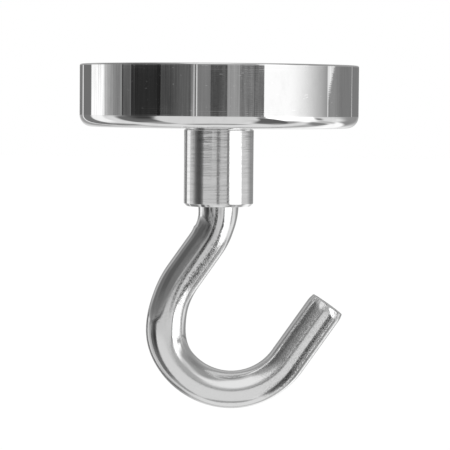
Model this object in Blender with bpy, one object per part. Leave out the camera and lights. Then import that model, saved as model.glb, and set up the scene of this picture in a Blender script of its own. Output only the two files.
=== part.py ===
"""Magnetic hook: a round pot magnet with a threaded bushing under it and a bent wire hook screwed into that.

Metres, +Z up. The origin is the centre of the magnet face, which looks up at the steel that it sticks to,
and the hook hangs below it. The hook lies in the XZ plane, with its mouth towards +X.
"""
import math

import bmesh
import bpy
from mathutils import Matrix, Vector

MM = 0.001

# Fits between pieces
FIT_GAP = 0.1 * MM
THREAD_CLEARANCE = 0.1 * MM

# Steel cup
CUP_DIAMETER = 48.0 * MM
CUP_HEIGHT = 10.7 * MM
CUP_WALL = 2.8 * MM
CUP_FLOOR = 4.0 * MM
CUP_BOTTOM_FILLET = 2.0 * MM
CUP_RIM_ROUNDING = 0.45 * MM
CUP_RIM_CHAMFER = 0.3 * MM

# Resin that holds the magnet in the cup
RESIN_WIDTH = 1.0 * MM
RESIN_FILM = 0.4 * MM
RESIN_DIP = 0.5 * MM

# Disc magnet
MAGNET_CHAMFER = 0.3 * MM

# Wire hook, followed from the bushing's mouth to the tip
SHANK_DIAMETER = 7.0 * MM
WIRE_DIAMETER = 6.5 * MM
NECK_DROP = 0.2 * MM
NECK_RADIUS = 10.8 * MM
NECK_BEND = math.radians(35.0)
NECK_TAPER_SHARE = 0.5
SLOPE_LENGTH = 7.0 * MM
BACK_RADIUS = 16.5 * MM
BACK_BEND = math.radians(34.0)
BOWL_RADIUS = 9.6 * MM
BOWL_BEND = math.radians(42.0)
LIP_RADIUS = 11.9 * MM
LIP_BEND = math.radians(104.0)
TIP_LENGTH = 12.1 * MM
TIP_CHAMFER = 0.2 * MM

# Thread between hook and bushing
THREAD_PITCH = 1.25 * MM
THREAD_CREST_SHARE = 1.0 / 8.0
THREAD_ROOT_SHARE = 1.0 / 4.0
THREAD_RISE_SHARE = 0.4
THREAD_FLANK = math.radians(30.0)
THREAD_LEAD_IN = 0.6 * MM

# Turned bushing
BUSHING_LENGTH = 13.5 * MM
BUSHING_WALL = 1.7 * MM
BUSHING_END_CHAMFER = 0.5 * MM
BUSHING_SEAM_CHAMFER = 0.4 * MM
MOUTH_CLEARANCE = 0.8 * MM
MOUTH_DEPTH = 1.6 * MM
MOUTH_CHAMFER = 0.3 * MM
DRILL_RUNOUT = 1.6 * MM
DRILL_HALF_ANGLE = math.radians(59.0)
SHOULDER_WIDTH = 2.0 * MM
RIVET_FLARE = 1.4 * MM

# Facets
CUP_SEGMENTS = 80
BUSHING_SEGMENTS = 40
WIRE_SEGMENTS = 32
CORNER_STEPS = 5
BEND_STEP = math.radians(7.0)
SHARP_ANGLE = math.radians(32.0)
SAME_HEIGHT = 0.00001

# Sizes that follow from the ones above
FULL_TURN = 2.0 * math.pi
CUP_RADIUS = CUP_DIAMETER / 2
SHANK_RADIUS = SHANK_DIAMETER / 2
WIRE_RADIUS = WIRE_DIAMETER / 2
CUP_BORE_RADIUS = CUP_RADIUS - CUP_WALL
CUP_BORE_DEPTH = CUP_HEIGHT - CUP_FLOOR
MAGNET_RADIUS = CUP_BORE_RADIUS - FIT_GAP - RESIN_WIDTH - FIT_GAP
MAGNET_THICKNESS = CUP_BORE_DEPTH - FIT_GAP - RESIN_FILM - FIT_GAP
THREAD_RUN = THREAD_PITCH * (1 - THREAD_CREST_SHARE - THREAD_ROOT_SHARE) / 2
THREAD_DEPTH = THREAD_RUN / math.tan(THREAD_FLANK)
THREAD_RADIUS = SHANK_RADIUS + THREAD_RISE_SHARE * THREAD_PITCH
DRILL_RADIUS = THREAD_RADIUS - THREAD_DEPTH
MOUTH_RADIUS = SHANK_RADIUS + MOUTH_CLEARANCE
BUSHING_RADIUS = MOUTH_RADIUS + BUSHING_WALL
SPIGOT_RADIUS = BUSHING_RADIUS - SHOULDER_WIDTH
SPIGOT_LENGTH = FIT_GAP + CUP_FLOOR
THREAD_TURNS = math.floor((BUSHING_LENGTH - MOUTH_DEPTH - DRILL_RUNOUT) / THREAD_PITCH)


def material(name, colour, roughness, metallic):
    """A plain Principled material."""
    made = bpy.data.materials.new(name)
    made.use_nodes = True
    shader = made.node_tree.nodes["Principled BSDF"]
    shader.inputs["Base Color"].default_value = (*colour, 1.0)
    shader.inputs["Roughness"].default_value = roughness
    shader.inputs["Metallic"].default_value = metallic
    return made


def piece(name, bm, surface, location, parent):
    """Turns a finished bmesh into a named object, smooth but for its sharp edges."""
    bmesh.ops.recalc_face_normals(bm, faces=bm.faces)
    mesh = bpy.data.meshes.new(name)
    bm.to_mesh(mesh)
    bm.free()
    mesh.shade_smooth()
    mesh.set_sharp_from_angle(angle=SHARP_ANGLE)
    mesh.materials.append(surface)
    made = bpy.data.objects.new(name, mesh)
    bpy.context.scene.collection.objects.link(made)
    made.location = location
    made.parent = parent
    return made


def corner(centre_r, centre_z, radius, start, end):
    """Points of a round corner in a turned outline, from one angle to the other."""
    points = []
    for step in range(CORNER_STEPS + 1):
        angle = start + (end - start) * step / CORNER_STEPS
        points.append((centre_r + radius * math.cos(angle), centre_z + radius * math.sin(angle)))
    return points


def turned(outline, segments, closed):
    """Spins an outline of (radius, height) points about Z. An open one starts and ends on the axis."""
    bm = bmesh.new()
    verts = [bm.verts.new((r, 0, z)) for r, z in outline]
    edges = [bm.edges.new(pair) for pair in zip(verts, verts[1:])]
    if closed:
        edges.append(bm.edges.new((verts[-1], verts[0])))
    bmesh.ops.spin(bm, geom=verts + edges, cent=(0, 0, 0), axis=(0, 0, 1), angle=FULL_TURN,
                   steps=segments, use_merge=True)
    if not closed:
        for height in (outline[0][1], outline[-1][1]):
            on_axis = [v for v in bm.verts if v.co.xy.length == 0]
            pole = [v for v in on_axis if math.isclose(v.co.z, height, rel_tol=SAME_HEIGHT)]
            bmesh.ops.pointmerge(bm, verts=pole, merge_co=(0, 0, height))
    return bm


def thread_outline(first_ridge, ridges, crest_radius):
    """Ridges of a thread as (radius, height) points, going up. The hook and the bushing share it."""
    crest_half = THREAD_PITCH * THREAD_CREST_SHARE / 2
    root_radius = crest_radius - THREAD_DEPTH
    points = []
    for ridge in range(ridges):
        middle = first_ridge + ridge * THREAD_PITCH
        points += [(root_radius, middle - crest_half - THREAD_RUN), (crest_radius, middle - crest_half),
                   (crest_radius, middle + crest_half), (root_radius, middle + crest_half + THREAD_RUN)]
    return points


def make_cup(surface):
    """Steel cup, open upwards, with a countersunk hole in its floor for the bushing's rivet head."""
    hole = SPIGOT_RADIUS + FIT_GAP
    sink = hole + RIVET_FLARE
    bottom = -CUP_HEIGHT
    fillet = min(CUP_BOTTOM_FILLET, CUP_FLOOR)
    outline = [(hole, bottom)]
    outline += corner(CUP_RADIUS - fillet, bottom + fillet, fillet, -math.pi / 2, 0)
    outline += corner(CUP_RADIUS - CUP_RIM_ROUNDING, -CUP_RIM_ROUNDING, CUP_RIM_ROUNDING, 0, math.pi / 2)
    outline += [(CUP_BORE_RADIUS + CUP_RIM_CHAMFER, 0), (CUP_BORE_RADIUS, -CUP_RIM_CHAMFER),
                (CUP_BORE_RADIUS, -CUP_BORE_DEPTH), (sink, -CUP_BORE_DEPTH),
                (hole, -CUP_BORE_DEPTH - RIVET_FLARE)]
    return piece("steel_cup", turned(outline, CUP_SEGMENTS, closed=True), surface, (0, 0, 0), None)


def make_magnet(surface, cup):
    """Disc magnet, flush with the cup's rim."""
    edge = MAGNET_RADIUS - MAGNET_CHAMFER
    bottom = -MAGNET_THICKNESS
    outline = [(0, bottom), (edge, bottom), (MAGNET_RADIUS, bottom + MAGNET_CHAMFER),
               (MAGNET_RADIUS, -MAGNET_CHAMFER), (edge, 0), (0, 0)]
    return piece("disc_magnet", turned(outline, CUP_SEGMENTS, closed=False), surface, (0, 0, 0), cup)


def make_resin(surface, cup):
    """Cured resin: a film under the magnet and a ring around it, a little below the rim."""
    inner = MAGNET_RADIUS + FIT_GAP
    outer = inner + RESIN_WIDTH
    film_top = -MAGNET_THICKNESS - FIT_GAP
    film_bottom = film_top - RESIN_FILM
    outline = [(0, film_bottom), (outer, film_bottom), (outer, -RESIN_DIP),
               (inner, -RESIN_DIP), (inner, film_top), (0, film_top)]
    return piece("potting_resin", turned(outline, CUP_SEGMENTS, closed=False), surface, (0, 0, 0), cup)


def make_bushing(surface, cup):
    """Turned bushing with its shoulder at height zero. Its spigot is riveted over in the cup's floor."""
    mouth = -BUSHING_LENGTH
    thread_start = mouth + MOUTH_DEPTH
    thread_end = thread_start + THREAD_TURNS * THREAD_PITCH
    drill_end = thread_end + DRILL_RUNOUT
    drill_tip = drill_end + DRILL_RADIUS / math.tan(DRILL_HALF_ANGLE)
    outline = [(0, SPIGOT_LENGTH), (SPIGOT_RADIUS + RIVET_FLARE, SPIGOT_LENGTH),
               (SPIGOT_RADIUS, SPIGOT_LENGTH - RIVET_FLARE), (SPIGOT_RADIUS, 0),
               (BUSHING_RADIUS - BUSHING_SEAM_CHAMFER, 0), (BUSHING_RADIUS, -BUSHING_SEAM_CHAMFER),
               (BUSHING_RADIUS, mouth + BUSHING_END_CHAMFER), (BUSHING_RADIUS - BUSHING_END_CHAMFER, mouth),
               (MOUTH_RADIUS + MOUTH_CHAMFER, mouth), (MOUTH_RADIUS, mouth + MOUTH_CHAMFER),
               (MOUTH_RADIUS, thread_start), (DRILL_RADIUS, thread_start)]
    outline += thread_outline(thread_start + THREAD_PITCH / 2, THREAD_TURNS, THREAD_RADIUS)
    outline += [(DRILL_RADIUS, drill_end), (0, drill_tip)]
    return piece("threaded_bushing", turned(outline, BUSHING_SEGMENTS, closed=False), surface,
                 (0, 0, -CUP_HEIGHT - FIT_GAP), cup)


class Wire:
    """The hook's centreline. Its stations hold a place, the lean from straight down and the wire's radius."""

    def __init__(self, top):
        self.x = 0
        self.z = top
        self.lean = 0
        self.stations = []

    def mark(self, radius):
        self.stations.append((self.x, self.z, self.lean, radius))

    def run(self, length):
        self.x -= length * math.sin(self.lean)
        self.z -= length * math.cos(self.lean)

    def bend(self, radius, turn, wire_start=WIRE_RADIUS):
        """Bends by turn, towards -X when it is positive. The wire draws in from its radius at the start."""
        steps = math.ceil(abs(turn) / BEND_STEP)
        side = math.copysign(radius, turn)
        for step in range(1, steps + 1):
            after = self.lean + turn / steps
            self.x += side * (math.cos(after) - math.cos(self.lean))
            self.z -= side * (math.sin(after) - math.sin(self.lean))
            self.lean = after
            self.mark(wire_start + (WIRE_RADIUS - wire_start) * step / steps)


def hook_stations():
    """Stations from the threaded end inside the bushing to the tip. Height zero is the bushing's mouth."""
    first_ridge = MOUTH_DEPTH - THREAD_PITCH / 2
    ridges = THREAD_TURNS + 1
    thread = thread_outline(first_ridge, ridges, THREAD_RADIUS - THREAD_CLEARANCE)
    root_radius, thread_top = thread[-1]
    thread_low = thread[0][1]
    wire = Wire(thread_top + THREAD_LEAD_IN)
    wire.mark(root_radius - THREAD_LEAD_IN / 2)
    for radius, height in reversed(thread):
        wire.z = height
        wire.mark(radius)
    wire.run(SHANK_RADIUS - root_radius)
    wire.mark(SHANK_RADIUS)
    wire.run(thread_low - (SHANK_RADIUS - root_radius) + NECK_DROP)
    wire.mark(SHANK_RADIUS)
    wire.bend(NECK_RADIUS, NECK_BEND * NECK_TAPER_SHARE, SHANK_RADIUS)
    wire.bend(NECK_RADIUS, NECK_BEND * (1 - NECK_TAPER_SHARE))
    wire.run(SLOPE_LENGTH)
    wire.mark(WIRE_RADIUS)
    wire.bend(BACK_RADIUS, -BACK_BEND)
    wire.bend(BOWL_RADIUS, -BOWL_BEND)
    wire.bend(LIP_RADIUS, -LIP_BEND)
    wire.run(TIP_LENGTH - TIP_CHAMFER)
    wire.mark(WIRE_RADIUS)
    wire.run(TIP_CHAMFER)
    wire.mark(WIRE_RADIUS - TIP_CHAMFER)
    return wire.stations


def station_matrix(station):
    """Puts a unit circle in the XY plane round the centreline at a station."""
    x, z, lean, radius = station
    place = Matrix.Translation(Vector((x, 0, z)))
    return place @ Matrix.Rotation(lean, 4, "Y") @ Matrix.Diagonal((radius, radius, 1, 1))


def make_hook(surface, bushing):
    """Bent wire hook, with its origin on the screw's axis at the bushing's mouth."""
    stations = hook_stations()
    bm = bmesh.new()
    ring = bmesh.ops.create_circle(bm, cap_ends=False, radius=1, segments=WIRE_SEGMENTS)["verts"]
    before = station_matrix(stations[0])
    bmesh.ops.transform(bm, matrix=before, verts=ring)
    edges = list(bm.edges)
    bmesh.ops.contextual_create(bm, geom=edges)
    for station in stations[1:]:
        after = station_matrix(station)
        grown = bmesh.ops.extrude_edge_only(bm, edges=edges)["geom"]
        edges = [item for item in grown if isinstance(item, bmesh.types.BMEdge)]
        ring = [item for item in grown if isinstance(item, bmesh.types.BMVert)]
        bmesh.ops.transform(bm, matrix=after @ before.inverted(), verts=ring)
        before = after
    bmesh.ops.contextual_create(bm, geom=edges)
    return piece("wire_hook", bm, surface, (0, 0, -BUSHING_LENGTH), bushing)


def main():
    for old in list(bpy.data.objects):
        bpy.data.objects.remove(old)
    cup = make_cup(material("cup_nickel", (0.78, 0.77, 0.74), 0.12, 1.0))
    make_magnet(material("magnet_nickel", (0.70, 0.69, 0.66), 0.25, 1.0), cup)
    make_resin(material("black_resin", (0.03, 0.03, 0.03), 0.45, 0.0), cup)
    bushing = make_bushing(material("turned_steel", (0.68, 0.68, 0.67), 0.30, 1.0), cup)
    make_hook(material("hook_plating", (0.72, 0.71, 0.70), 0.20, 1.0), bushing)


main()
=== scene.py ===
"""Looks of a magnetic hook: a polished nickel cup with its magnet and resin, a turned bushing and a plated
wire hook.

Metres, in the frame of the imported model: +Z up, the magnet's face at height zero, the hook's mouth towards +X.
"""
import math

import bmesh
import bpy
from mathutils import Matrix, Vector


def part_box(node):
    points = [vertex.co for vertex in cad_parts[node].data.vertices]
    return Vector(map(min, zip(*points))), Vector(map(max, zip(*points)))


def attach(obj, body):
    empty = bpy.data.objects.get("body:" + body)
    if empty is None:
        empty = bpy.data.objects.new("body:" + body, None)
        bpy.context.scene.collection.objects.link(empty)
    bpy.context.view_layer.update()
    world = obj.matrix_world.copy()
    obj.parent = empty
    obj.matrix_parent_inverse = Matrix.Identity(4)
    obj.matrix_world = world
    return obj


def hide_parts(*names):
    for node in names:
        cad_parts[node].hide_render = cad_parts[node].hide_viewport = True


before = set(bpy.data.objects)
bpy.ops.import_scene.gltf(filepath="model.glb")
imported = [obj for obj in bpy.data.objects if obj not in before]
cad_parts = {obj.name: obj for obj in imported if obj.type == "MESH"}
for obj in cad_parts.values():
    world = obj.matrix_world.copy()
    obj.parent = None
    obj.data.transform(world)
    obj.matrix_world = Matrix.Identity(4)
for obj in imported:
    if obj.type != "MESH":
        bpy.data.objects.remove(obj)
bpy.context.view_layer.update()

MM = 0.001
FULL_TURN = 2.0 * math.pi
QUARTER_TURN = math.pi / 2

# Steel cup, magnet and resin
CUP_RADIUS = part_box("steel_cup")[1].x
CUP_HEIGHT = -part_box("steel_cup")[0].z
CUP_WALL = 2.8 * MM
CUP_FLOOR = 4.0 * MM
CUP_BOTTOM_FILLET = 2.0 * MM
CUP_INNER_FILLET = 0.2 * MM
CUP_RIM_ROUNDING = 0.25 * MM
CUP_RIM_CHAMFER = 0.3 * MM
CUP_EDGE = 0.1 * MM
MAGNET_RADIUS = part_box("disc_magnet")[1].x
MAGNET_THICKNESS = -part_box("disc_magnet")[0].z
MAGNET_EDGE = 0.3 * MM
RESIN_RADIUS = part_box("potting_resin")[1].x
RESIN_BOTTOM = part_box("potting_resin")[0].z
RESIN_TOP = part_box("potting_resin")[1].z
RESIN_EDGE = 0.05 * MM
FIT_GAP = 0.1 * MM

# The resin's meniscus. Its bank and rounding are shares of the ring's width
MENISCUS_DIP = 0.25 * MM
MENISCUS_BANK = 0.3
MENISCUS_ROUNDING = 0.5

# Turned bushing
BUSHING_RADIUS = 6.0 * MM
BUSHING_TOP = -CUP_HEIGHT - FIT_GAP
BUSHING_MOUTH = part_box("threaded_bushing")[0].z
RIVET_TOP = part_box("threaded_bushing")[1].z
RIVET_FLARE = 1.4 * MM
SPIGOT_RADIUS = 4.0 * MM
BUSHING_END_CHAMFER = 0.5 * MM
BUSHING_SEAM_CHAMFER = 0.4 * MM
BUSHING_EDGE = 0.12 * MM
BUSHING_INNER_EDGE = 0.05 * MM
MOUTH_RADIUS = 4.3 * MM
MOUTH_DEPTH = 1.6 * MM
MOUTH_CHAMFER = 0.3 * MM
DRILL_RUNOUT = 1.6 * MM
DRILL_HALF_ANGLE = math.radians(59.0)

# Thread, as closed ridges
THREAD_PITCH = 1.25 * MM
THREAD_RADIUS = 4.0 * MM
THREAD_CLEARANCE = 0.1 * MM
THREAD_CREST = THREAD_PITCH / 8
THREAD_RUN = THREAD_PITCH * 5 / 16
THREAD_DEPTH = THREAD_RUN / math.tan(math.radians(30.0))
THREAD_TURNS = 8
THREAD_LEAD_IN = 0.6 * MM

# Wire hook, followed from the bushing's mouth to the tip
SHANK_RADIUS = 3.5 * MM
WIRE_RADIUS = 3.25 * MM
NECK_DROP = 0.2 * MM
NECK_RADIUS = 10.8 * MM
NECK_BEND = math.radians(35.0)
NECK_TAPER = 3.5 * MM
SLOPE_LENGTH = 7.0 * MM
BACK_RADIUS = 16.5 * MM
BACK_BEND = math.radians(34.0)
BOWL_RADIUS = 9.6 * MM
BOWL_BEND = math.radians(42.0)
LIP_RADIUS = 11.9 * MM
LIP_BEND = math.radians(104.0)
TIP_LENGTH = 12.1 * MM
TIP_ROUNDING = 0.15 * MM
TIP_ROLL = 0.2 * MM
TIP_ROLL_LENGTH = 1.3 * MM

# Fold on the inner side of the neck, and the two places where the bender widened the wire
CREASE_HEIGHT = 0.14 * MM
CREASE_START = 4.4 * MM
CREASE_TOP = 5.2 * MM
CREASE_END = 8.0 * MM
SLOPE_SWELL = 0.06 * MM
SLOPE_SWELL_MIDDLE = 12.0 * MM
SLOPE_SWELL_REACH = 12.0 * MM
BACK_SWELL = 0.2 * MM
BACK_SWELL_MIDDLE = 24.0 * MM
BACK_SWELL_REACH = 6.0 * MM

# Fineness of the meshes
CUP_SIDES = 256
BUSHING_SIDES = 128
WIRE_SIDES = 96
WIRE_STEP = 0.4 * MM
TIP_ROLL_STEPS = 8
TIP_EDGE_STEPS = 4
ARC_STEP = math.radians(9.0)
GUARD = 0.03 * MM
SHARP_ANGLE = math.radians(32.0)
SAME_PLACE = 0.0001 * MM

# Finishes: two greys that a cloud mixes, the grey of stains and of painted shade, grains to a metre, and
# roughness
POLISHED = {"dark": 0.91, "bright": 0.94, "stain_and_shade": 0.45, "cloud_grain": 60.0, "fog_grain": 350.0,
            "polish": 0.02, "haze": 0.012}
GROUND = {"dark": 0.68, "bright": 0.76, "stain_and_shade": 0.5, "cloud_grain": 120.0, "fog_grain": 200.0,
          "polish": 0.20, "haze": 0.10}
TURNED = {"dark": 0.90, "bright": 0.96, "stain_and_shade": 0.55, "cloud_grain": 300.0, "fog_grain": 300.0,
          "polish": 0.055, "haze": 0.04}
PLATED = {"dark": 0.89, "bright": 0.94, "stain_and_shade": 0.12, "cloud_grain": 250.0, "fog_grain": 500.0,
          "polish": 0.05, "haze": 0.06}
CLOUD = {"detail": 3.0, "roughness": 0.6}
FOG = {"cut": (0.35, 0.75), "detail": 4.0, "roughness": 0.65}

# Marks on the cup. Here and below, grain is in grains to a metre, a height or depth in millimetres, and a
# stain, a painted shade and a dullness are each a share
CUP_FEED = 0.33 * MM
CUP_FEED_HEIGHT = 0.0001
CUP_DRIFT = 0.2 * MM
CUP_GRAIN = {"grain": 3600.0}
CUP_GRAIN_HEIGHT = 0.0006
SCRATCHES = {"grain": (900.0, 900.0, 5200.0), "cut": (0.74, 0.80), "detail": 1.0}
SCRATCH_DEPTH = 0.0005
SMEARS = {"grain": (420.0, 420.0, 260.0), "cut": (0.42, 0.80), "detail": 4.0, "roughness": 0.7}
SMEAR_STAIN = 0.16
# The cup's underside: painted shade darkens it, and it is duller
BOTTOM_LAYER = (0.10 * MM, 0.02 * MM)
BOTTOM_PAINTED_SHADE = 0.15
BOTTOM_DULLNESS = 0.1

# Marks on the bushing
TOOL_FEED = {"grain": 3400.0, "roughness": 0.6}
TOOL_DRIFT = 0.25 * MM
TOOL_FEED_HEIGHT = 0.004
GROOVE_CUT = (0.46, 0.66)
GROOVE_STAIN = 0.17
GROOVE_DULLNESS = 0.06
CHATTER = {"grain": 1500.0, "detail": 3.0, "roughness": 0.6}
CHATTER_DRIFT = 0.7 * MM
CHATTER_HEIGHT = 0.005
CHATTER_CUT = (0.45, 0.75)
CHATTER_STAIN = 0.08
BLOTCHES = {"grain": (90.0, 90.0, 780.0), "cut": (0.42, 0.62)}
BLOTCH_STAIN = 0.14
# A broken dark line down the front of the bushing: a painted reflection
DASHES = {"grain": (0.0, 0.0, 1500.0), "cut": (0.42, 0.58), "detail": 3.0, "roughness": 0.7}
DASH_WIDTH = (0.12 * MM, 0.42 * MM)
DASH_FRONT = -1.0 * MM
DASH_PAINTED_REFLECTION = 0.5

# Marks on the wire as if it were straight. Aside is towards the inside of the bowl, and along is counted from
# the bushing's mouth
PEEL = {"grain": 3000.0, "roughness": 0.55}
PEEL_HEIGHT = 0.0040
DRAWN = {"grain": (5000.0, 5000.0, 160.0)}
DRAWN_HEIGHT = 0.0010
RIPPLE = {"grain": 420.0, "detail": 1.0}
RIPPLE_HEIGHT = 0.004
SPECKLE = {"grain": 4300.0, "detail": 1.0, "roughness": 0.6}
LIP_ALONG = (44.0 * MM, 50.0 * MM)

PIT_CUT = (0.50, 0.58)
PIT_DEPTH = 0.020
PIT_STAIN = 0.52
PIT_DULLNESS = 0.15
WORN_PATCHES = {"grain": 260.0, "cut": (0.38, 0.58), "roughness": 0.6}
WORN_ALONG = ((3.0 * MM, 7.0 * MM), (15.0 * MM, 22.0 * MM))
WORN_ASIDE = (0.5 * MM, 1.1 * MM)
WORN_LESS_ASIDE = (1.6 * MM, 2.2 * MM)
WORN_LESS = 0.65
WORN_LIP = 0.25
WORN_ALL_OVER = 0.05

STREAKS = {"grain": (2200.0, 2200.0, 420.0), "cut": (0.30, 0.72), "detail": 3.0, "roughness": 0.7}
STREAK_LEAST = 0.55
STREAK_MORE = 0.9
# Painted shade down the slope from the bushing, darkest close to it
PAINTED_SHADE_LENGTH = 28.0 * MM
PAINTED_SHADE_ASIDE = (0.3 * MM, 1.1 * MM)
PAINTED_SHADE_LEAN = 0.06
PAINTED_SHADE_DEPTH = 0.24
PAINTED_SHADE_OUTER_ASIDE = (-2.0 * MM, -1.3 * MM)
PAINTED_SHADE_DULLNESS = 0.05
SHADE_ALONG = (1.0 * MM, 9.0 * MM)
SHADE_ASIDE = (-1.1 * MM, 0.0)
SHADE_DEPTH = 0.5

# A painted reflection: a dark line down the front of the slope
LINE_ASIDE = -0.25 * MM
LINE_LEAN = 0.035
LINE_WIDTH = (0.10 * MM, 0.38 * MM)
LINE_ALONG = (16.0 * MM, 23.0 * MM)
LINE_CUT = (0.42, 0.58)
LINE_LEAST = 0.65
LINE_MORE = 0.5
REFLECTION_LINE_DARKNESS = 0.74

OUTER_STRIPE_ASIDE = -1.8 * MM
OUTER_STRIPE_WIDTH = (0.3 * MM, 0.9 * MM)
INNER_STRIPE_ASIDE = 0.45 * MM
INNER_STRIPE_WIDTH = (0.1 * MM, 0.5 * MM)
INNER_STRIPE_SHARE = 0.7
STRIPE_CUT = (0.46, 0.56)
STRIPE_LEAST = 0.15
STRIPE_STAIN = 0.62

# Painted shade on the outer side of the back bend
BACK_ALONG = ((18.0 * MM, 23.0 * MM), (32.0 * MM, 38.0 * MM))
BACK_ASIDE = (-2.7 * MM, -2.1 * MM)
BACK_PAINTED_SHADE = 0.43
BRUSHED_ALONG = ((24.0 * MM, 28.0 * MM), (42.0 * MM, 47.0 * MM))
BRUSHED_DULLNESS = 0.08

# Marks on the magnet and in the resin
MAGNET_GRAIN = {"grain": 9000.0, "roughness": 0.6}
MAGNET_GRAIN_HEIGHT = 0.0015
MAGNET_STAIN_CUT = (0.5, 0.8)
MAGNET_STAIN = 0.1
RESIN_GREY = 0.018
RESIN_POLISH = 0.22
RESIN_RIPPLE = {"grain": 700.0}
RESIN_RIPPLE_HEIGHT = 0.06
DUST = {"grain": 4000.0, "cut": (0.66, 0.74), "detail": 1.0}
DUST_GREY = 0.06
DUST_HAZE = 0.3
DUST_HEIGHT = 0.01

# Camera and floor
CAMERA_SIDE = 1.17 * MM
CAMERA_DISTANCE = 378.1 * MM
CAMERA_HEIGHT = -6.14 * MM
CAMERA_TILT = math.radians(3.246)
CAMERA_ROLL = math.radians(0.464)
CAMERA_LENS = 175.2
CAMERA_NEAR = 10.0 * MM
FLOOR_HEIGHT = -120.0 * MM
FLOOR_SIZE = 4.0

# Light. METAL_GREY is the share that bright metal gives back. The world and the sun share what falls on the
# floor. Azimuths and elevations are in degrees
METAL_GREY = 0.92
FLOOR_LEVEL = 1.02
WORLD_SHARE = 0.55
SUN_SPREAD = math.radians(35.0)
SUN_TILT = (math.radians(28.0), math.radians(-22.0), 0.0)
HORIZON_BLEND = 12.0
HALF_ROUND = 180.0
SKYLINE = (-0.8, 1.3)
UNDER_SKYLINE = (-4.0, -0.8)
MOTTLE = {"grain": 1.0, "detail": 3.0, "roughness": 0.65}


class Field:
    """A number that changes over a surface or the sky. Sums and products of fields add Math nodes."""

    def __init__(self, graph, socket):
        self.graph = graph
        self.socket = socket

    def __add__(self, other):
        return self.graph.math("ADD", self, other)

    def __radd__(self, other):
        return self.graph.math("ADD", other, self)

    def __sub__(self, other):
        return self.graph.math("SUBTRACT", self, other)

    def __rsub__(self, other):
        return self.graph.math("SUBTRACT", other, self)

    def __mul__(self, other):
        return self.graph.math("MULTIPLY", self, other)

    def __rmul__(self, other):
        return self.graph.math("MULTIPLY", other, self)

    def __truediv__(self, other):
        return self.graph.math("DIVIDE", self, other)


class Graph:
    """The nodes of one material or of the world."""

    def __init__(self, owner):
        owner.use_nodes = True
        self.tree = owner.node_tree
        self.tree.nodes.clear()

    def node(self, kind, settings=None, values=None, output=0):
        """Adds a node, first its settings and then what goes into its sockets, and gives one of its outputs."""
        made = self.tree.nodes.new("ShaderNode" + kind)
        for name, setting in (settings or {}).items():
            setattr(made, name, setting)
        for name, value in (values or {}).items():
            if isinstance(value, Field):
                self.tree.links.new(value.socket, made.inputs[name])
            else:
                made.inputs[name].default_value = value
        return Field(self, made.outputs[output]) if made.outputs else made

    def math(self, operation, *values):
        return self.node("Math", {"operation": operation}, dict(enumerate(values)))

    def split(self, place):
        """The three parts of a place."""
        outputs = self.node("SeparateXYZ", {}, {"Vector": place}).socket.node.outputs
        return [Field(self, part) for part in outputs]

    def smooth(self, value, low, high):
        """Nought up to low, one from high on, and a smooth step between them. It falls if low is above high."""
        return self.node("MapRange", {"interpolation_type": "SMOOTHSTEP"},
                         {"Value": value, "From Min": low, "From Max": high})

    def fade(self, value, span):
        """One before the span, nought after it."""
        return self.smooth(value, span[1], span[0])

    def stretch(self, value, rise, fall):
        """One on the stretch between the two spans, in which it rises and falls."""
        return self.fade(value, fall) * self.smooth(value, *rise)

    def strip(self, value, middle, width):
        """One out to the first half width on either side of the middle, nought beyond the second."""
        return self.fade(self.math("ABSOLUTE", value - middle), width)

    def noise(self, place, grain, detail=2.0, roughness=0.5):
        """Noise. grain is one number, or one for each direction."""
        if isinstance(grain, tuple):
            place = self.node("Mapping", {}, {"Vector": place, "Scale": grain})
            grain = 1.0
        return self.node("TexNoise", {}, {
            "Vector": place, "Scale": grain, "Detail": detail, "Roughness": roughness})

    def patches(self, place, grain, cut, detail=2.0, roughness=0.5):
        """Noise that is nought below the cut and one above it."""
        return self.smooth(self.noise(place, grain, detail, roughness), *cut)

    def mix(self, share, first, second):
        """Mixes two colours by a field."""
        return self.node("Mix", {"data_type": "RGBA"}, {0: share, 6: first, 7: second}, 2)

    def bump(self, height):
        """Bumps from a height in millimetres."""
        return self.node("Bump", {}, {"Strength": 1.0, "Distance": MM, "Height": height})


def grey(level):
    return (level, level, level, 1.0)


def linear(tone):
    """The light that shows as this tone, from nought to one, in the picture."""
    return ((tone + 0.055) / 1.055) ** 2.4


def object_place(graph):
    return graph.node("TexCoord", {}, {}, "Object")


def wire_place(graph):
    """The place on the wire as if it were straight."""
    return graph.node("Attribute", {"attribute_name": "straight_wire"}, {}, "Vector")


def turned_place(graph, place, drift):
    """A place for lathe marks: they run round the axis, and follow the outline from the middle to the rim. The
    marks change along a circle of the radius drift in each turn."""
    x, y, z = graph.split(place)
    radius = graph.math("SQRT", x * x + y * y)
    return graph.node("CombineXYZ", {}, {"X": x / radius * drift, "Y": y / radius * drift, "Z": radius + z})


def metal(name, place_of, finish, marks_of):
    """A metal. finish has its greys and roughness. marks_of gives, from a place on the surface, its bumps in
    millimetres, how far it is darkened by stains and by painted shade, and how far it is dulled."""
    made = bpy.data.materials.new(name)
    graph = Graph(made)
    place = place_of(graph)
    height, stain_and_shade, dullness = marks_of(graph, place)
    cloud = graph.noise(place, finish["cloud_grain"], **CLOUD)
    colour = graph.mix(cloud, grey(finish["dark"]), grey(finish["bright"]))
    # Darkens towards the stain grey: real stains, and painted shade and reflections where the marks put them
    colour = graph.mix(stain_and_shade, colour, grey(finish["stain_and_shade"]))
    fog = graph.patches(place, finish["fog_grain"], **FOG)
    rough = finish["polish"] + fog * finish["haze"] + dullness
    shader = graph.node("BsdfPrincipled", {}, {
        "Base Color": colour, "Metallic": 1.0, "Roughness": rough, "Normal": graph.bump(height)})
    graph.node("OutputMaterial", {}, {"Surface": shader})
    return made


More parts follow.
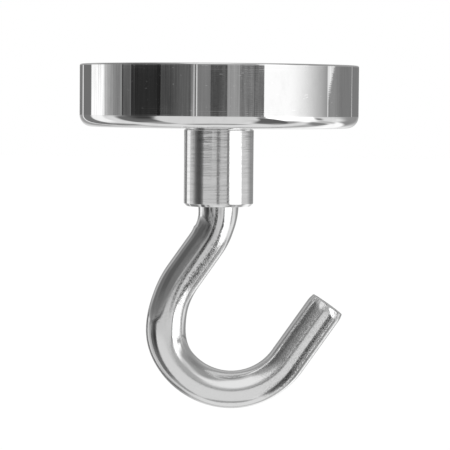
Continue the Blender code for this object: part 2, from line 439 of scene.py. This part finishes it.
def cup_marks(graph, place):
    """The polished cup: what is left of the lathe's feed, a few scratches, wiping smears, and a duller face at
    the bushing, which painted shade darkens under the cup."""
    around = turned_place(graph, place, CUP_DRIFT)
    grain = graph.noise(around, **CUP_GRAIN)
    feed = graph.math("SINE", graph.split(around)[2] * (FULL_TURN / CUP_FEED))
    scratch = graph.patches(place, **SCRATCHES)
    smear = graph.patches(place, **SMEARS)
    above_bottom = graph.split(place)[2] + CUP_HEIGHT
    # Painted shade on the cup's underside, which is also duller
    bottom = graph.smooth(above_bottom, *BOTTOM_LAYER)
    height = grain * CUP_GRAIN_HEIGHT + feed * CUP_FEED_HEIGHT - scratch * SCRATCH_DEPTH
    return height, smear * SMEAR_STAIN + bottom * BOTTOM_PAINTED_SHADE, bottom * BOTTOM_DULLNESS


def magnet_marks(graph, place):
    """The magnet's face: fine ground grain."""
    grain = graph.noise(place, **MAGNET_GRAIN)
    return grain * MAGNET_GRAIN_HEIGHT, graph.smooth(grain, *MAGNET_STAIN_CUT) * MAGNET_STAIN, 0.0


def bushing_marks(graph, place):
    """The turned bushing: the tool's feed, its chatter, dark grooves, blotches and a broken dark line in front
    that is a painted reflection.
    """
    feed = graph.noise(turned_place(graph, place, TOOL_DRIFT), **TOOL_FEED)
    chatter = graph.noise(turned_place(graph, place, CHATTER_DRIFT), **CHATTER)
    groove = graph.smooth(feed, *GROOVE_CUT)
    x, y, _ = graph.split(place)
    # Broken dark line on the front: a painted reflection
    reflection_dashes = (graph.strip(x, 0.0, DASH_WIDTH) * graph.smooth(y, 0.0, DASH_FRONT)
              * graph.patches(place, **DASHES))
    stain_and_shade = (groove * GROOVE_STAIN + graph.smooth(chatter, *CHATTER_CUT) * CHATTER_STAIN
             + graph.patches(place, **BLOTCHES) * BLOTCH_STAIN + reflection_dashes * DASH_PAINTED_REFLECTION)
    return feed * TOOL_FEED_HEIGHT + chatter * CHATTER_HEIGHT, stain_and_shade, groove * GROOVE_DULLNESS


def worn_plating(graph, place, aside, along):
    """How thickly the pits lie: most on the inner side of the slope, some on the lip, few elsewhere."""
    on_slope = (graph.smooth(aside, *WORN_ASIDE) * (1 - WORN_LESS * graph.smooth(aside, *WORN_LESS_ASIDE))
                * graph.stretch(along, *WORN_ALONG))
    on_lip = graph.smooth(along, *LIP_ALONG) * WORN_LIP
    return (on_slope + on_lip + WORN_ALL_OVER) * (0.5 + 0.5 * graph.patches(place, **WORN_PATCHES))


def painted_shade_by_bushing(graph, place, aside, along):
    """Painted shade from the bushing: streaky, thinning out down the slope, and darker close to the bushing."""
    stain_and_shade = graph.fade(along, (0.0, PAINTED_SHADE_LENGTH)) * graph.fade(aside - along * PAINTED_SHADE_LEAN, PAINTED_SHADE_ASIDE)
    shade = graph.fade(along, SHADE_ALONG) * graph.fade(aside, SHADE_ASIDE)
    streak = STREAK_LEAST + STREAK_MORE * graph.patches(place, **STREAKS)
    return (stain_and_shade * PAINTED_SHADE_DEPTH + shade * SHADE_DEPTH) * graph.smooth(aside, *PAINTED_SHADE_OUTER_ASIDE) * streak


def painted_reflection_line(graph, speckle, aside, along):
    """A painted reflection: a dark line down the front of the slope, which drifts inwards."""
    return (graph.strip(aside - along * LINE_LEAN, LINE_ASIDE, LINE_WIDTH) * graph.fade(along, LINE_ALONG)
            * (LINE_LEAST + LINE_MORE * graph.smooth(speckle, *LINE_CUT)))


def lip_stripes(graph, speckle, aside, along):
    """Two worn stripes along the lip."""
    outer = graph.strip(aside, OUTER_STRIPE_ASIDE, OUTER_STRIPE_WIDTH)
    inner = graph.strip(aside, INNER_STRIPE_ASIDE, INNER_STRIPE_WIDTH) * INNER_STRIPE_SHARE
    return ((outer + inner) * graph.smooth(along, *LIP_ALONG)
            * (STRIPE_LEAST + (1 - STRIPE_LEAST) * graph.smooth(speckle, *STRIPE_CUT)))


def hook_marks(graph, place):
    """The plated wire: orange peel, drawing marks and ripples all over, pits where it is worn, painted shade by
    the bushing, a dark line down its front that is a painted reflection, stripes on the lip, painted shade on
    its back and a softly brushed bowl."""
    aside, _, along = graph.split(place)
    speckle = graph.noise(place, **SPECKLE)
    pit = graph.smooth(speckle, *PIT_CUT) * worn_plating(graph, place, aside, along)
    # Painted shade by the bushing
    bushing_painted_shade = painted_shade_by_bushing(graph, place, aside, along)
    # Painted shade on the outer side of the back bend
    back = graph.fade(aside, BACK_ASIDE) * graph.stretch(along, *BACK_ALONG)
    brushed = graph.stretch(along, *BRUSHED_ALONG)
    height = (graph.noise(place, **PEEL) * PEEL_HEIGHT + graph.noise(place, **DRAWN) * DRAWN_HEIGHT
              + graph.noise(place, **RIPPLE) * RIPPLE_HEIGHT - pit * PIT_DEPTH)
    stain_and_shade = (pit * PIT_STAIN + bushing_painted_shade + painted_reflection_line(graph, speckle, aside, along) * REFLECTION_LINE_DARKNESS
             + lip_stripes(graph, speckle, aside, along) * STRIPE_STAIN + back * BACK_PAINTED_SHADE)
    return height, stain_and_shade, pit * PIT_DULLNESS + bushing_painted_shade * PAINTED_SHADE_DULLNESS + brushed * BRUSHED_DULLNESS


def resin_material():
    """Cast black epoxy, glossy, with dust and small ripples in it."""
    made = bpy.data.materials.new("black_resin")
    graph = Graph(made)
    place = object_place(graph)
    dust = graph.patches(place, **DUST)
    height = graph.noise(place, **RESIN_RIPPLE) * RESIN_RIPPLE_HEIGHT + dust * DUST_HEIGHT
    shader = graph.node("BsdfPrincipled", {}, {
        "Base Color": graph.mix(dust, grey(RESIN_GREY), grey(DUST_GREY)),
        "Roughness": RESIN_POLISH + dust * DUST_HAZE, "Normal": graph.bump(height)})
    graph.node("OutputMaterial", {}, {"Surface": shader})
    return made


def rounded(corners, closed):
    """An outline from corners (radius, height, rounding). Straights keep a guard point at each end, so that
    their shading stays straight up to the rounding."""
    points = []
    for i, (r, z, rounding) in enumerate(corners):
        at_end = not closed and i in (0, len(corners) - 1)
        here = Vector((r, z))
        if at_end or rounding == 0:
            points.append(here)
            continue
        back = Vector(corners[i - 1][:2]) - here
        ahead = Vector(corners[(i + 1) % len(corners)][:2]) - here
        turn = math.pi - back.angle(ahead)
        back.normalize()
        ahead.normalize()
        reach = rounding * math.tan(turn / 2)
        start = here + back * reach
        end = here + ahead * reach
        centre = here + (back + ahead).normalized() * (rounding / math.cos(turn / 2))
        spoke = start - centre
        side = math.copysign(1, spoke.cross(end - centre))
        steps = max(2, math.ceil(turn / ARC_STEP))
        points.append(start + back * GUARD)
        for step in range(steps + 1):
            points.append(centre + Matrix.Rotation(side * turn * step / steps, 2) @ spoke)
        points.append(end + ahead * GUARD)
    return [(point.x, point.y) for point in points]


def turned(name, corners, sides, closed, surface, body):
    """Spins an outline about the axis into a smooth piece."""
    outline = rounded(corners, closed)
    bm = bmesh.new()
    verts = [bm.verts.new((r, 0, z)) for r, z in outline]
    edges = [bm.edges.new(pair) for pair in zip(verts, verts[1:])]
    if closed:
        edges.append(bm.edges.new((verts[-1], verts[0])))
    bmesh.ops.spin(bm, geom=verts + edges, cent=(0, 0, 0), axis=(0, 0, 1), angle=FULL_TURN, steps=sides,
                   use_merge=True)
    poles = [vert for vert in bm.verts if vert.co.xy.length < SAME_PLACE]
    bmesh.ops.remove_doubles(bm, verts=poles, dist=SAME_PLACE)
    return piece(name, bm, surface, body)


def piece(name, bm, surface, body):
    """A finished bmesh as a named piece that rides on a body."""
    bmesh.ops.recalc_face_normals(bm, faces=bm.faces)
    mesh = bpy.data.meshes.new(name)
    bm.to_mesh(mesh)
    bm.free()
    mesh.shade_smooth()
    mesh.set_sharp_from_angle(angle=SHARP_ANGLE)
    mesh.materials.append(surface)
    made = bpy.data.objects.new(name, mesh)
    bpy.context.scene.collection.objects.link(made)
    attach(made, body)
    return made


def thread_ridges(first_ridge, ridges, crest_radius):
    """Ridges of a thread as (radius, height), going up."""
    root_radius = crest_radius - THREAD_DEPTH
    to_crest = THREAD_CREST / 2
    to_root = to_crest + THREAD_RUN
    points = []
    for ridge in range(ridges):
        middle = first_ridge + ridge * THREAD_PITCH
        points += [(root_radius, middle - to_root), (crest_radius, middle - to_crest),
                   (crest_radius, middle + to_crest), (root_radius, middle + to_root)]
    return points


def make_cup(surface):
    bore = CUP_RADIUS - CUP_WALL
    floor = CUP_FLOOR - CUP_HEIGHT
    hole = SPIGOT_RADIUS + FIT_GAP
    corners = [(hole, -CUP_HEIGHT, CUP_EDGE),
               (CUP_RADIUS, -CUP_HEIGHT, CUP_BOTTOM_FILLET),
               (CUP_RADIUS, 0, CUP_RIM_ROUNDING),
               (bore + CUP_RIM_CHAMFER, 0, CUP_EDGE),
               (bore, -CUP_RIM_CHAMFER, CUP_EDGE),
               (bore, floor, CUP_INNER_FILLET),
               (hole + RIVET_FLARE, floor, CUP_EDGE),
               (hole, floor - RIVET_FLARE, CUP_EDGE)]
    cup = turned("polished_cup", corners, CUP_SIDES, True, surface, "magnet_assembly")
    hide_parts("steel_cup")


def make_magnet(surface):
    corners = [(0, -MAGNET_THICKNESS, 0), (MAGNET_RADIUS, -MAGNET_THICKNESS, MAGNET_EDGE),
               (MAGNET_RADIUS, 0, MAGNET_EDGE), (0, 0, 0)]
    magnet = turned("plated_magnet", corners, CUP_SIDES, False, surface, "magnet_assembly")
    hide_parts("disc_magnet")


def make_resin(surface):
    inner = MAGNET_RADIUS + FIT_GAP
    film_top = -MAGNET_THICKNESS - FIT_GAP
    width = RESIN_RADIUS - inner
    bank = width * MENISCUS_BANK
    rounding = width * MENISCUS_ROUNDING
    corners = [(0, RESIN_BOTTOM, 0),
               (RESIN_RADIUS, RESIN_BOTTOM, RESIN_EDGE),
               (RESIN_RADIUS, RESIN_TOP, RESIN_EDGE),
               (RESIN_RADIUS - bank, RESIN_TOP - MENISCUS_DIP, rounding),
               (inner + bank, RESIN_TOP - MENISCUS_DIP, rounding),
               (inner, RESIN_TOP, RESIN_EDGE),
               (inner, film_top, RESIN_EDGE),
               (0, film_top, 0)]
    resin = turned("cast_resin", corners, CUP_SIDES, False, surface, "magnet_assembly")
    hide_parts("potting_resin")


def make_bushing(surface):
    thread_start = BUSHING_MOUTH + MOUTH_DEPTH
    drill_radius = THREAD_RADIUS - THREAD_DEPTH
    drill_end = thread_start + THREAD_TURNS * THREAD_PITCH + DRILL_RUNOUT
    drill_tip = drill_end + drill_radius / math.tan(DRILL_HALF_ANGLE)
    corners = [(0, RIVET_TOP, 0),
               (SPIGOT_RADIUS + RIVET_FLARE, RIVET_TOP, BUSHING_INNER_EDGE),
               (SPIGOT_RADIUS, RIVET_TOP - RIVET_FLARE, BUSHING_EDGE),
               (SPIGOT_RADIUS, BUSHING_TOP, BUSHING_INNER_EDGE),
               (BUSHING_RADIUS - BUSHING_SEAM_CHAMFER, BUSHING_TOP, BUSHING_EDGE),
               (BUSHING_RADIUS, BUSHING_TOP - BUSHING_SEAM_CHAMFER, BUSHING_EDGE),
               (BUSHING_RADIUS, BUSHING_MOUTH + BUSHING_END_CHAMFER, BUSHING_EDGE),
               (BUSHING_RADIUS - BUSHING_END_CHAMFER, BUSHING_MOUTH, BUSHING_EDGE),
               (MOUTH_RADIUS + MOUTH_CHAMFER, BUSHING_MOUTH, BUSHING_EDGE),
               (MOUTH_RADIUS, BUSHING_MOUTH + MOUTH_CHAMFER, BUSHING_EDGE),
               (MOUTH_RADIUS, thread_start, BUSHING_INNER_EDGE),
               (drill_radius, thread_start, 0)]
    thread = thread_ridges(thread_start + THREAD_PITCH / 2, THREAD_TURNS, THREAD_RADIUS)
    corners += [(r, z, 0) for r, z in thread]
    corners += [(drill_radius, drill_end, 0), (0, drill_tip, 0)]
    bushing = turned("turned_bushing", corners, BUSHING_SIDES, False, surface, "magnet_assembly")
    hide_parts("threaded_bushing")


def bulge(along, middle, reach):
    """A smooth hump along the wire: one at its middle, nought beyond its reach."""
    away = min(1.0, abs(along - middle) / reach)
    return (1 - away * away) ** 2


def wire_radius(along):
    """The shank draws in to the wire in the neck."""
    share = min(1.0, max(0.0, along / NECK_TAPER))
    return SHANK_RADIUS + share * (WIRE_RADIUS - SHANK_RADIUS)


def swell(along):
    """How much further the wire reaches to either side, in the plane of its bends."""
    return (SLOPE_SWELL * bulge(along, SLOPE_SWELL_MIDDLE, SLOPE_SWELL_REACH)
            + BACK_SWELL * bulge(along, BACK_SWELL_MIDDLE, BACK_SWELL_REACH))


def crease(along):
    """How far the metal is pushed out in a small fold on the inner side of the neck's bend."""
    if along < CREASE_TOP:
        share = max(0.0, (along - CREASE_START) / (CREASE_TOP - CREASE_START))
    else:
        share = max(0.0, (CREASE_END - along) / (CREASE_END - CREASE_TOP))
    return CREASE_HEIGHT * share * share


class Wire:
    """The hook's centreline. Stations hold place, lean from straight down, radius and length along the wire."""

    def __init__(self, top):
        self.x = 0.0
        self.z = top
        self.lean = 0.0
        self.along = -top
        self.stations = []

    def mark(self, radius=None):
        self.stations.append((self.x, self.z, self.lean, radius or wire_radius(self.along), self.along))

    def move(self, length):
        self.x -= length * math.sin(self.lean)
        self.z -= length * math.cos(self.lean)
        self.along += length

    def run(self, length):
        """Goes straight on, with a station at each step."""
        steps = math.ceil(length / WIRE_STEP)
        for _ in range(steps):
            self.move(length / steps)
            self.mark()

    def bend(self, radius, turn):
        """Bends by turn, towards -X when it is positive."""
        steps = math.ceil(radius * abs(turn) / WIRE_STEP)
        side = math.copysign(radius, turn)
        for _ in range(steps):
            after = self.lean + turn / steps
            self.x += side * (math.cos(after) - math.cos(self.lean))
            self.z -= side * (math.sin(after) - math.sin(self.lean))
            self.lean = after
            self.along += radius * abs(turn) / steps
            self.mark()


def hook_stations():
    """Stations from the threaded end to the tip. Height zero is the bushing's mouth."""
    crest_radius = THREAD_RADIUS - THREAD_CLEARANCE
    thread = thread_ridges(MOUTH_DEPTH - THREAD_PITCH / 2, THREAD_TURNS + 1, crest_radius)
    root_radius, thread_top = thread[-1]
    wire = Wire(thread_top + THREAD_LEAD_IN)
    wire.mark(root_radius - THREAD_LEAD_IN / 2)
    for radius, height in reversed(thread):
        wire.move(wire.z - height)
        wire.mark(radius)
    wire.move(SHANK_RADIUS - root_radius)
    wire.mark()
    wire.run(wire.z + NECK_DROP)
    wire.bend(NECK_RADIUS, NECK_BEND)
    wire.run(SLOPE_LENGTH)
    wire.bend(BACK_RADIUS, -BACK_BEND)
    wire.bend(BOWL_RADIUS, -BOWL_BEND)
    wire.bend(LIP_RADIUS, -LIP_BEND)
    wire.run(TIP_LENGTH - TIP_ROUNDING - TIP_ROLL_LENGTH)
    for step in range(1, TIP_ROLL_STEPS + 1):
        wire.move(TIP_ROLL_LENGTH / TIP_ROLL_STEPS)
        wire.mark(wire_radius(wire.along) - TIP_ROLL * (step / TIP_ROLL_STEPS) ** 2)
    for step in range(1, TIP_EDGE_STEPS + 1):
        angle = QUARTER_TURN * step / TIP_EDGE_STEPS
        angle_before = QUARTER_TURN * (step - 1) / TIP_EDGE_STEPS
        wire.move(TIP_ROUNDING * (math.sin(angle) - math.sin(angle_before)))
        wire.mark(wire_radius(wire.along) - TIP_ROLL - TIP_ROUNDING * (1 - math.cos(angle)))
    return wire.stations


def make_hook(surface):
    """Sweeps a circle along the stations, keeps each point's place on the straight wire, and then pushes the
    fold out."""
    bm = bmesh.new()
    straight = bm.verts.layers.float_vector.new("straight_wire")
    ring = bmesh.ops.create_circle(bm, cap_ends=False, radius=1, segments=WIRE_SIDES)["verts"]
    edges = list(bm.edges)
    before = Matrix.Identity(4)
    folds = []
    for number, (x, z, lean, radius, along) in enumerate(hook_stations()):
        if number > 0:
            grown = bmesh.ops.extrude_edge_only(bm, edges=edges)["geom"]
            edges = [item for item in grown if isinstance(item, bmesh.types.BMEdge)]
            ring = [item for item in grown if isinstance(item, bmesh.types.BMVert)]
        place = Matrix.Translation((x, 0, z + BUSHING_MOUTH)) @ Matrix.Rotation(lean, 4, "Y")
        after = place @ Matrix.Diagonal((radius + swell(along), radius, 1, 1))
        bmesh.ops.transform(bm, matrix=after @ before.inverted(), verts=ring)
        inside = place.inverted()
        inwards = place.to_3x3().col[0] * -crease(along)
        for vert in ring:
            flat = inside @ vert.co
            vert[straight] = (flat.x, flat.y, along)
            inner = max(0.0, -flat.x / radius)
            folds.append((vert, inwards * (inner * inner)))
        if number == 0:
            bmesh.ops.contextual_create(bm, geom=edges)
        before = after
    end = bmesh.ops.contextual_create(bm, geom=edges)["faces"]
    bmesh.ops.inset_region(bm, faces=end, thickness=TIP_ROUNDING)
    for vert, fold in folds:
        vert.co += fold
    hook = piece("plated_hook", bm, surface, "hook")
    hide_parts("wire_hook")


class Studio:
    """The light that metal reflects, by direction: azimuth 0 is towards the camera, 90 is +X."""

    def __init__(self, graph):
        self.graph = graph
        ray = graph.node("TexCoord", {}, {}, "Generated")
        x, y, z = graph.split(ray)
        self.azimuth = graph.math("DEGREES", graph.math("ARCTAN2", x, 0 - y))
        self.elevation = graph.math("DEGREES", graph.math("ARCSINE", z))
        self.light = None

    def sky(self, low_tone, high_tone):
        share = self.graph.smooth(self.elevation, -HORIZON_BLEND, HORIZON_BLEND)
        low = linear(low_tone) / METAL_GREY
        self.light = low + share * (linear(high_tone) / METAL_GREY - low)

    def card(self, tone, azimuths, elevations, soft=(1.0, 1.0), slant=0.0, flare=0.0):
        """A card, or a flag when it is dark. Its tone is what bright metal shows, azimuths and elevations are
        its edges, and soft is how far these blur to either side. With each degree of elevation its azimuth
        shifts by slant, and its half width grows by flare."""
        middle = sum(azimuths) / 2
        width = (azimuths[1] - azimuths[0]) / 2
        height = (elevations[1] - elevations[0]) / 2
        raised = self.elevation - sum(elevations) / 2
        turned_away = self.azimuth - middle - raised * slant
        aside = self.graph.math("WRAP", turned_away, HALF_ROUND, -HALF_ROUND)
        across = self.graph.math("ABSOLUTE", aside)
        up = self.graph.math("ABSOLUTE", raised)
        if flare:
            width = width + raised * flare
        mask = (self.graph.smooth(across, width + soft[0], width - soft[0])
                * self.graph.smooth(up, height + soft[1], height - soft[1]))
        self.light = self.light + mask * (linear(tone) / METAL_GREY - self.light)

    def mottle(self, depth, azimuths, elevations, scales):
        """Makes the light uneven inside a window. scales are the grains to a degree, across and upwards."""
        place = self.graph.node("CombineXYZ", {}, {
            "X": self.azimuth * scales[0], "Y": self.elevation * scales[1]})
        grain = self.graph.noise(place, **MOTTLE)
        aside = self.graph.math("ABSOLUTE", self.azimuth - sum(azimuths) / 2)
        raised = self.graph.math("ABSOLUTE", self.elevation - sum(elevations) / 2)
        inside = (self.graph.math("LESS_THAN", aside, (azimuths[1] - azimuths[0]) / 2)
                  * self.graph.math("LESS_THAN", raised, (elevations[1] - elevations[0]) / 2))
        self.light = self.light * (1 + inside * depth * (grain - 0.5))


def hang_back_wall(card):
    """Behind the object and over it: a pale wall low down, grey screens left and right of it, and a ceiling."""
    card(0.99, (118, 182), (-40, -10), (8, 5))
    card(0.82, (173, 192), (-50, 2), (6, 8))
    card(0.72, (172, 196), (-56, -44), (8, 5))
    card(0.66, (118, 172), (-57, -46), (10, 5), -0.9)
    card(0.50, (98, 134), (-47, -34), (6, 3), -0.9)
    card(0.54, (128, 166), (-24, 2.6), (14, 2.5), 0.3)
    card(0.80, (86, 112), (-3.6, 2.6), (5, 1.6))
    card(0.56, (122, 150), (-13, 2.6), (16, 5), -0.5)
    card(0.96, (-129, -110), (-34, 1), (3, 5))
    card(0.60, (-166, -148), (-34, 2.5), (6, 6))
    card(0.46, (-152, -130.5), (-40, 2.5), (2, 5))
    card(0.48, (-154, -124), (-54, -38), (8, 4), -0.6)
    card(0.68, (-170, -140), (-56, -46), (8, 4))
    card(0.70, (140, 220), (26, 46), (10, 8))
    card(0.70, (-142, -125), (4, 36), (5, 6))
    card(0.50, (70, 115), (34, 56), (15, 10))
    card(0.80, (-180, 180), (66, 120), (1, 8))


def hang_front_cards(card):
    """Large cards in front: a sail above, and a soft box on the right with screens round it."""
    card(0.90, (-34, 24), (12, 64), (9, 7), -0.5)
    card(0.80, (26, 50), (14, 34), (8, 8))
    card(0.64, (8, 33), (3, 22), (4, 4), 0.5)
    card(1.15, (36, 84), (-32, 14), (3.0, 8), -0.3)
    card(0.99, (76, 93), (-30, -12), (6, 5), -0.9)
    card(0.66, (97, 128), (-32, -26), (6, 4), -0.9)
    card(0.52, (88, 96), (-21, -9), (3, 3), -0.5)
    card(0.60, (58, 97), (2.0, 8), (6, 1.2))


def hang_flags(card):
    """A black flag on the left, the table, and dark and grey flags below the line and low on the right."""
    card(0.46, (-98, -43.5), (2, 55), (6, 6), -0.65, -0.65)
    card(0.42, (-120, -95), (5, 32), (4, 8))
    card(0.35, (-92, -54), (12, 42), (8, 8), -0.3)
    card(0.57, (-90, -60), (-67, -50), (8, 5))
    card(0.40, (-94, -57), (-50, -6), (4, 6))
    card(0.38, (-89, -55), (-12, -0.7), (12, 0.4))
    card(0.23, (-76, -54), (-24, -0.7), (8, 12))
    card(0.77, (-51.5, 31), (-11, -0.8), (1.5, 1))
    card(0.82, (-57, 31), (-78, -8), (2.0, 3), 0.12)
    card(0.56, (-80, 62), (-84, -71), (12, 4))
    card(0.74, (-18, -12), (3, 8), (2.5, 2.5))
    card(0.33, (-6, 1), (-3.3, -0.8), (2, 0.9), -0.9)
    card(0.58, (38, 86), (-64, -34), (7, 5), -0.5)
    card(0.42, (44, 68), (-62, -48), (8, 5), -0.9)
    card(0.37, (36, 60.5), (-54, -12), (2.5, 5), -0.65, -0.42)
    card(0.55, (32, 38.5), (-14, -3), (2, 2))
    card(0.42, (28, 35), (-3.6, -0.8), (2, 0.6))


def stand_skyline(card):
    """What stands round the set at the height of the cup, from left to right and on behind the object."""
    card(0.43, (-149.5, -129.3), SKYLINE, (0.6, 0.3))
    card(0.99, (-129.3, -107), SKYLINE, (0.6, 0.4))
    card(0.72, (-108, -100), SKYLINE, (3.0, 0.4))
    card(0.60, (-103, -92), SKYLINE, (3.0, 0.4))
    card(0.50, (-96, -86), SKYLINE, (3.0, 0.4))
    card(0.25, (-86, -83.9), SKYLINE, (0.4, 0.4))
    card(0.35, (-83.9, -76.6), SKYLINE, (0.4, 0.4))
    card(0.19, (-76.4, -72.8), SKYLINE, (0.4, 0.4))
    card(0.17, (-73, -49.1), SKYLINE, (0.5, 0.4))
    card(0.13, (-51.4, -47.8), SKYLINE, (0.4, 0.4))
    card(0.27, (-47.9, -22.5), SKYLINE, (0.4, 0.4))
    card(0.37, (-34, -20.6), SKYLINE, (8.0, 0.4))
    card(0.82, (-20.4, -19.8), SKYLINE, (0.25, 0.4))
    card(0.40, (-19.5, -18.5), SKYLINE, (0.25, 0.4))
    card(0.90, (-18.2, -17.6), SKYLINE, (0.25, 0.4))
    card(0.47, (-17.3, -7.0), SKYLINE, (0.3, 0.4))
    card(0.29, (-7.0, 6.7), SKYLINE, (0.3, 0.4))
    card(0.36, (2, 6.7), SKYLINE, (4.0, 0.4))
    card(0.58, (6.7, 16.4), SKYLINE, (0.5, 0.4))
    card(0.46, (16.4, 28.3), SKYLINE, (0.4, 0.4))
    card(0.32, (28.3, 29.5), SKYLINE, (0.4, 0.4))
    card(0.42, (29.5, 36.8), SKYLINE, (0.3, 0.4))
    card(0.99, (36.8, 101), SKYLINE, (0.3, 0.4))
    card(0.60, (79, 140), SKYLINE, (24.0, 0.4))
    card(0.47, (99, 140), SKYLINE, (0.5, 0.4))
    card(0.55, (99, 112), SKYLINE, (8.0, 0.4))
    card(0.47, (140, 207), SKYLINE, (0.6, 0.4))
    card(0.90, (99.2, 101.4), SKYLINE, (0.4, 0.4), 5.0, 5.0)
    card(0.86, (99.2, 100.4), SKYLINE, (0.3, 0.4))
    card(0.95, (140.1, 140.7), SKYLINE, (0.25, 0.4))
    card(0.92, (-152.4, -149.4), (-50, SKYLINE[1]), (0.8, 0.4))


def roughen_skyline(card, mottle):
    """Unevenness in what stands round the set, and in what lies just under it."""
    mottle(1.8, (-129, -21), SKYLINE, (0.9, 0.25))
    mottle(0.8, (-17, 36), SKYLINE, (0.7, 0.25))
    mottle(0.7, (101, 180), SKYLINE, (0.9, 0.25))
    mottle(3.0, (-7, 6.5), SKYLINE, (0.4, 4.0))
    mottle(2.4, (17, 36), SKYLINE, (0.4, 3.0))
    mottle(1.6, (-77, -72.5), SKYLINE, (1.5, 14.0))
    card(0.66, (-8, 6), (-1.7, -0.9), (2, 0.6))
    mottle(3.0, (-9, 6), UNDER_SKYLINE, (0.15, 4.0))
    mottle(1.4, (6, 28), UNDER_SKYLINE, (0.06, 2.0))
    mottle(2.2, (-95, -53), UNDER_SKYLINE, (0.06, 2.5))


def make_world():
    """White to the camera, plain for soft surfaces, and a studio of cards and flags for what metal reflects."""
    world = bpy.data.worlds.new("studio")
    bpy.context.scene.world = world
    world.cycles.sampling_method = "NONE"
    graph = Graph(world)
    studio = Studio(graph)
    studio.sky(0.85, 0.58)
    hang_back_wall(studio.card)
    hang_front_cards(studio.card)
    hang_flags(studio.card)
    stand_skyline(studio.card)
    roughen_skyline(studio.card, studio.mottle)

    paths = graph.tree.nodes.new("ShaderNodeLightPath").outputs
    shiny = Field(graph, paths["Is Glossy Ray"])
    plain = Field(graph, paths["Is Diffuse Ray"])
    level = 1 + shiny * (studio.light - 1) + plain * (WORLD_SHARE - 1)
    background = graph.node("Background", {}, {"Color": (1, 1, 1, 1), "Strength": level})
    graph.node("OutputWorld", {}, {"Surface": background})


def make_sun():
    """A broad, soft lamp from above that gives the floor its shadow. Metal doesn't show it."""
    lamp = bpy.data.lights.new("soft_sun", "SUN")
    lamp.angle = SUN_SPREAD
    made = bpy.data.objects.new("soft_sun", lamp)
    made.rotation_euler = SUN_TILT
    slope = (made.rotation_euler.to_matrix() @ Vector((0, 0, 1))).z
    lamp.energy = math.pi * (FLOOR_LEVEL - WORLD_SHARE) / slope
    made.visible_glossy = False
    bpy.context.scene.collection.objects.link(made)


def make_floor():
    """Plain white floor, seen only from above, so that a view from below isn't blocked."""
    surface = bpy.data.materials.new("pale_floor")
    graph = Graph(surface)
    white = graph.node("BsdfDiffuse", {}, {"Color": (1, 1, 1, 1)})
    clear = graph.node("BsdfTransparent", {}, {"Color": (1, 1, 1, 1)})
    below = graph.node("NewGeometry", {}, {}, "Backfacing")
    shader = graph.node("MixShader", {}, {0: below, 1: white, 2: clear})
    graph.node("OutputMaterial", {}, {"Surface": shader})
    bm = bmesh.new()
    bmesh.ops.create_grid(bm, x_segments=1, y_segments=1, size=FLOOR_SIZE)
    bmesh.ops.translate(bm, verts=bm.verts, vec=(0, 0, FLOOR_HEIGHT))
    mesh = bpy.data.meshes.new("floor")
    bm.to_mesh(mesh)
    bm.free()
    mesh.materials.append(surface)
    made = bpy.data.objects.new("floor", mesh)
    made.visible_glossy = False
    bpy.context.scene.collection.objects.link(made)


def make_camera():
    lens = bpy.data.cameras.new("camera")
    lens.lens = CAMERA_LENS
    lens.clip_start = CAMERA_NEAR
    lens.clip_end = 2 * FLOOR_SIZE
    made = bpy.data.objects.new("camera", lens)
    place = Matrix.Translation((CAMERA_SIDE, -CAMERA_DISTANCE, CAMERA_HEIGHT))
    tilt = Matrix.Rotation(QUARTER_TURN - CAMERA_TILT, 4, "X")
    made.matrix_world = place @ tilt @ Matrix.Rotation(CAMERA_ROLL, 4, "Z")
    bpy.context.scene.collection.objects.link(made)
    bpy.context.scene.camera = made


make_camera()
make_cup(metal("polished_nickel", object_place, POLISHED, cup_marks))
make_magnet(metal("magnet_nickel", object_place, GROUND, magnet_marks))
make_resin(resin_material())
make_bushing(metal("turned_steel", object_place, TURNED, bushing_marks))
make_hook(metal("hook_plating", wire_place, PLATED, hook_marks))
make_world()
make_sun()
make_floor()
bpy.context.scene.view_settings.view_transform = "Standard"
